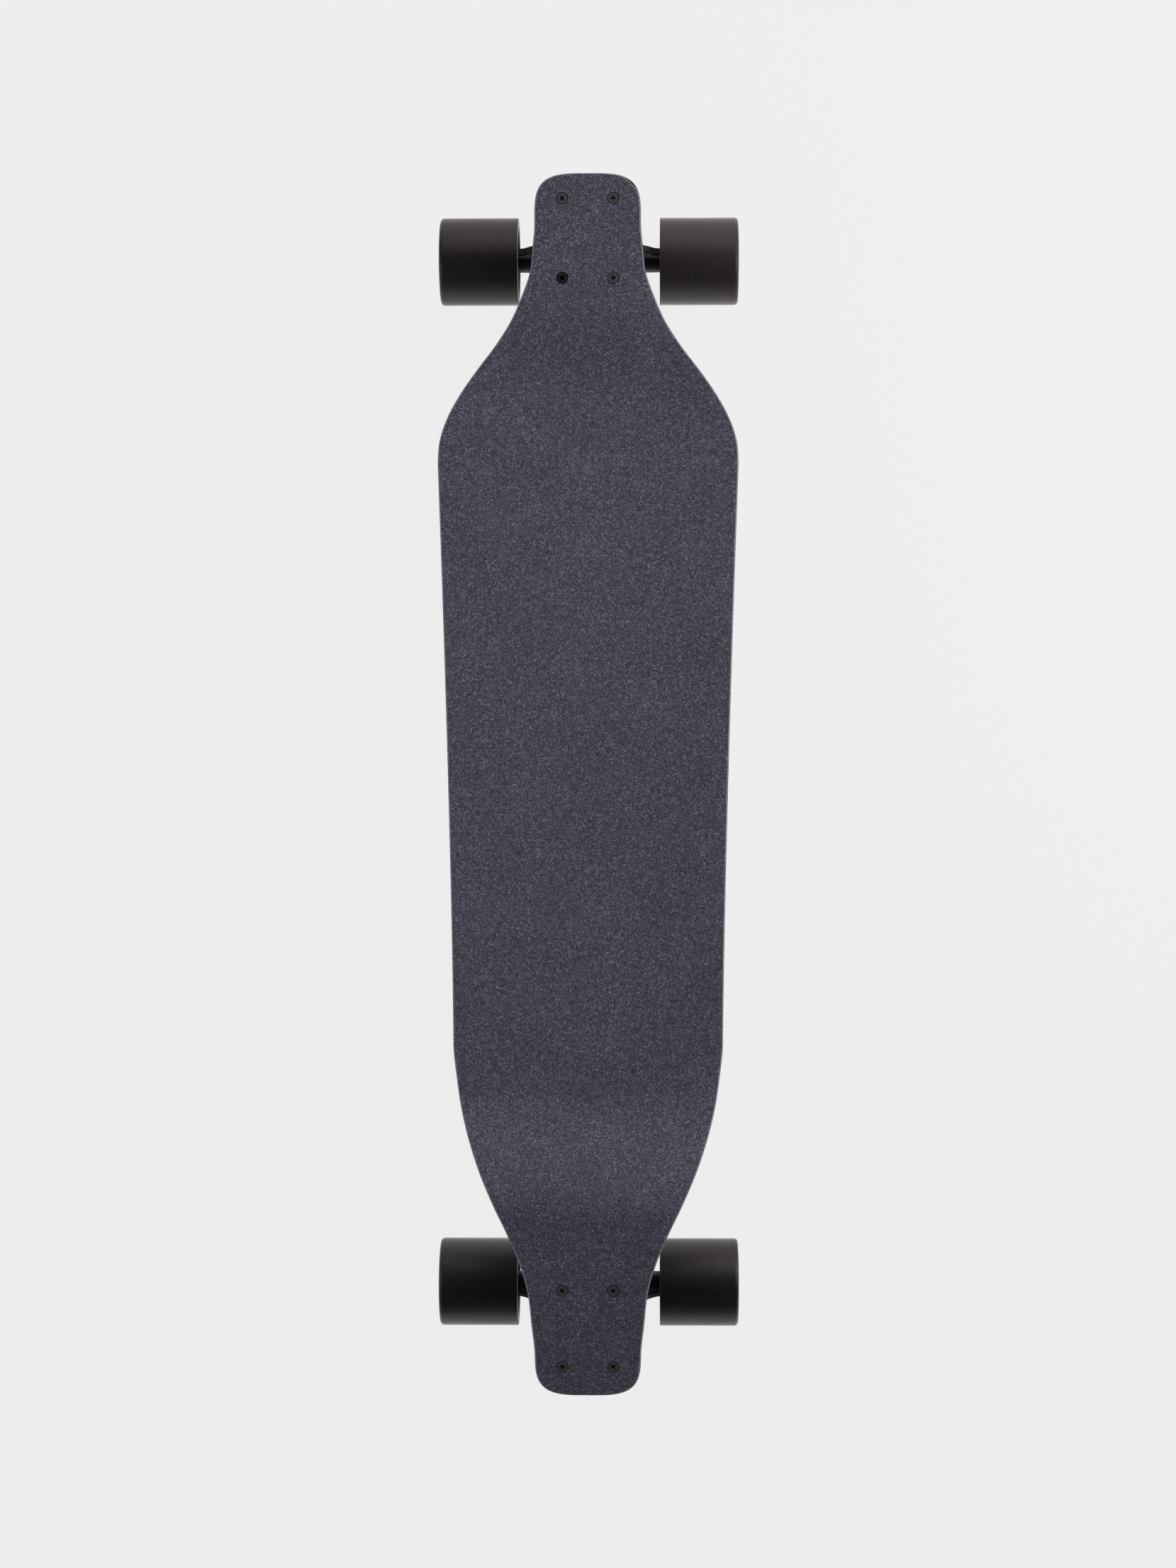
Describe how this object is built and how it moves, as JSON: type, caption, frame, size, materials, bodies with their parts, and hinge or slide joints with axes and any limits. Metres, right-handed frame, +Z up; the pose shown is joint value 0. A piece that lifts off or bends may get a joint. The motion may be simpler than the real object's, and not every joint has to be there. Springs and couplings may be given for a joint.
{
  "type": "longboard skateboard",
  "caption": "Drop-down longboard with cut-in ends, grip-taped deck, two tilting reverse-kingpin trucks and wide urethane wheels on ball bearings.",
  "frame": {"origin": "on the ground, below the middle of the deck", "axes": "+X right, +Y towards the nose, +Z up"},
  "size_m": [0.2476, 0.9902, 0.1242],
  "materials": {
    "maple": "stained maple laminate, black stained edge",
    "grip": "silicon carbide grit on black adhesive sheet",
    "black_steel": "black oxide, slight gloss",
    "truck_paint": "satin black powder coat on cast aluminium",
    "zinc_steel": "zinc plated",
    "bright_steel": "ground steel",
    "bushing": "cast urethane",
    "pivot_cup": "cast urethane",
    "urethane": "matte cast urethane",
    "core_plastic": "glass filled nylon",
    "shield_rubber": "moulded bearing seal",
    "cage_nylon": "natural nylon"
  },
  "bodies": {
    "board": {"deck": "maple", "grip_tape": "grip", "front_marker_bolt": "black_steel", "front_baseplate": "truck_paint", "front_kingpin": "zinc_steel", "front_kingpin_nut": "zinc_steel", "front_pivot_cup": "pivot_cup", "front_boardside_bushing": "bushing", "front_roadside_bushing": "bushing", "front_boardside_washer": "zinc_steel", "front_roadside_washer": "zinc_steel", "front_deck_bolts": "black_steel", "front_deck_nuts": "zinc_steel", "rear_baseplate": "truck_paint", "rear_kingpin": "zinc_steel", "rear_kingpin_nut": "zinc_steel", "rear_pivot_cup": "pivot_cup", "rear_boardside_bushing": "bushing", "rear_roadside_bushing": "bushing", "rear_boardside_washer": "zinc_steel", "rear_roadside_washer": "zinc_steel", "rear_deck_bolts": "black_steel", "rear_deck_nuts": "zinc_steel"},
    "front_truck": {"front_hanger": "truck_paint", "front_axle": "bright_steel", "front_axle_nuts": "zinc_steel", "front_speed_washers": "bright_steel", "front_bearing_inner_races": "bright_steel", "front_bearing_spacers": "bright_steel"},
    "rear_truck": {"rear_hanger": "truck_paint", "rear_axle": "bright_steel", "rear_axle_nuts": "zinc_steel", "rear_speed_washers": "bright_steel", "rear_bearing_inner_races": "bright_steel", "rear_bearing_spacers": "bright_steel"},
    "front_left_wheel": {"front_left_tyre": "urethane", "front_left_core": "core_plastic", "front_left_bearing_outer_races": "bright_steel", "front_left_bearing_shields": "shield_rubber"},
    "front_left_balls": {"front_left_bearing_balls": "bright_steel", "front_left_bearing_cages": "cage_nylon"},
    "front_right_wheel": {"front_right_tyre": "urethane", "front_right_core": "core_plastic", "front_right_bearing_outer_races": "bright_steel", "front_right_bearing_shields": "shield_rubber"},
    "front_right_balls": {"front_right_bearing_balls": "bright_steel", "front_right_bearing_cages": "cage_nylon"},
    "rear_left_wheel": {"rear_left_tyre": "urethane", "rear_left_core": "core_plastic", "rear_left_bearing_outer_races": "bright_steel", "rear_left_bearing_shields": "shield_rubber"},
    "rear_left_balls": {"rear_left_bearing_balls": "bright_steel", "rear_left_bearing_cages": "cage_nylon"},
    "rear_right_wheel": {"rear_right_tyre": "urethane", "rear_right_core": "core_plastic", "rear_right_bearing_outer_races": "bright_steel", "rear_right_bearing_shields": "shield_rubber"},
    "rear_right_balls": {"rear_right_bearing_balls": "bright_steel", "rear_right_bearing_cages": "cage_nylon"}
  },
  "joints": [
    {"name": "front_steer", "type": "hinge", "parent": "board", "child": "front_truck", "pos_m": [0, 0.45392, 0.0704], "axis": [0, 0.5373, 0.8434], "range_deg": [-20, 20], "stiffness_Nm_per_rad": 60, "deforming": ["front_boardside_bushing", "front_roadside_bushing"]},
    {"name": "rear_steer", "type": "hinge", "parent": "board", "child": "rear_truck", "pos_m": [0, -0.43768, 0.06509], "axis": [0, -0.7373, 0.6756], "range_deg": [-20, 20], "stiffness_Nm_per_rad": 60, "deforming": ["rear_boardside_bushing", "rear_roadside_bushing"]},
    {"name": "front_left_wheel_spin", "type": "hinge", "parent": "front_truck", "child": "front_left_wheel", "pos_m": [0, 0.43794, 0.036], "axis": [1, 0, 0], "continuous": true},
    {"name": "front_left_balls_orbit", "type": "hinge", "parent": "front_truck", "child": "front_left_balls", "pos_m": [0, 0.43794, 0.036], "axis": [1, 0, 0], "continuous": true},
    {"name": "front_right_wheel_spin", "type": "hinge", "parent": "front_truck", "child": "front_right_wheel", "pos_m": [0, 0.43794, 0.036], "axis": [1, 0, 0], "continuous": true},
    {"name": "front_right_balls_orbit", "type": "hinge", "parent": "front_truck", "child": "front_right_balls", "pos_m": [0, 0.43794, 0.036], "axis": [1, 0, 0], "continuous": true},
    {"name": "rear_left_wheel_spin", "type": "hinge", "parent": "rear_truck", "child": "rear_left_wheel", "pos_m": [0, -0.41334, 0.036], "axis": [1, 0, 0], "continuous": true},
    {"name": "rear_left_balls_orbit", "type": "hinge", "parent": "rear_truck", "child": "rear_left_balls", "pos_m": [0, -0.41334, 0.036], "axis": [1, 0, 0], "continuous": true},
    {"name": "rear_right_wheel_spin", "type": "hinge", "parent": "rear_truck", "child": "rear_right_wheel", "pos_m": [0, -0.41334, 0.036], "axis": [1, 0, 0], "continuous": true},
    {"name": "rear_right_balls_orbit", "type": "hinge", "parent": "rear_truck", "child": "rear_right_balls", "pos_m": [0, -0.41334, 0.036], "axis": [1, 0, 0], "continuous": true}
  ],
  "couplings": [
    {"joint": "front_left_balls_orbit", "follows": "front_left_wheel_spin", "ratio": 0.632},
    {"joint": "front_right_balls_orbit", "follows": "front_right_wheel_spin", "ratio": 0.632},
    {"joint": "rear_left_balls_orbit", "follows": "rear_left_wheel_spin", "ratio": 0.632},
    {"joint": "rear_right_balls_orbit", "follows": "rear_right_wheel_spin", "ratio": 0.632}
  ]
}
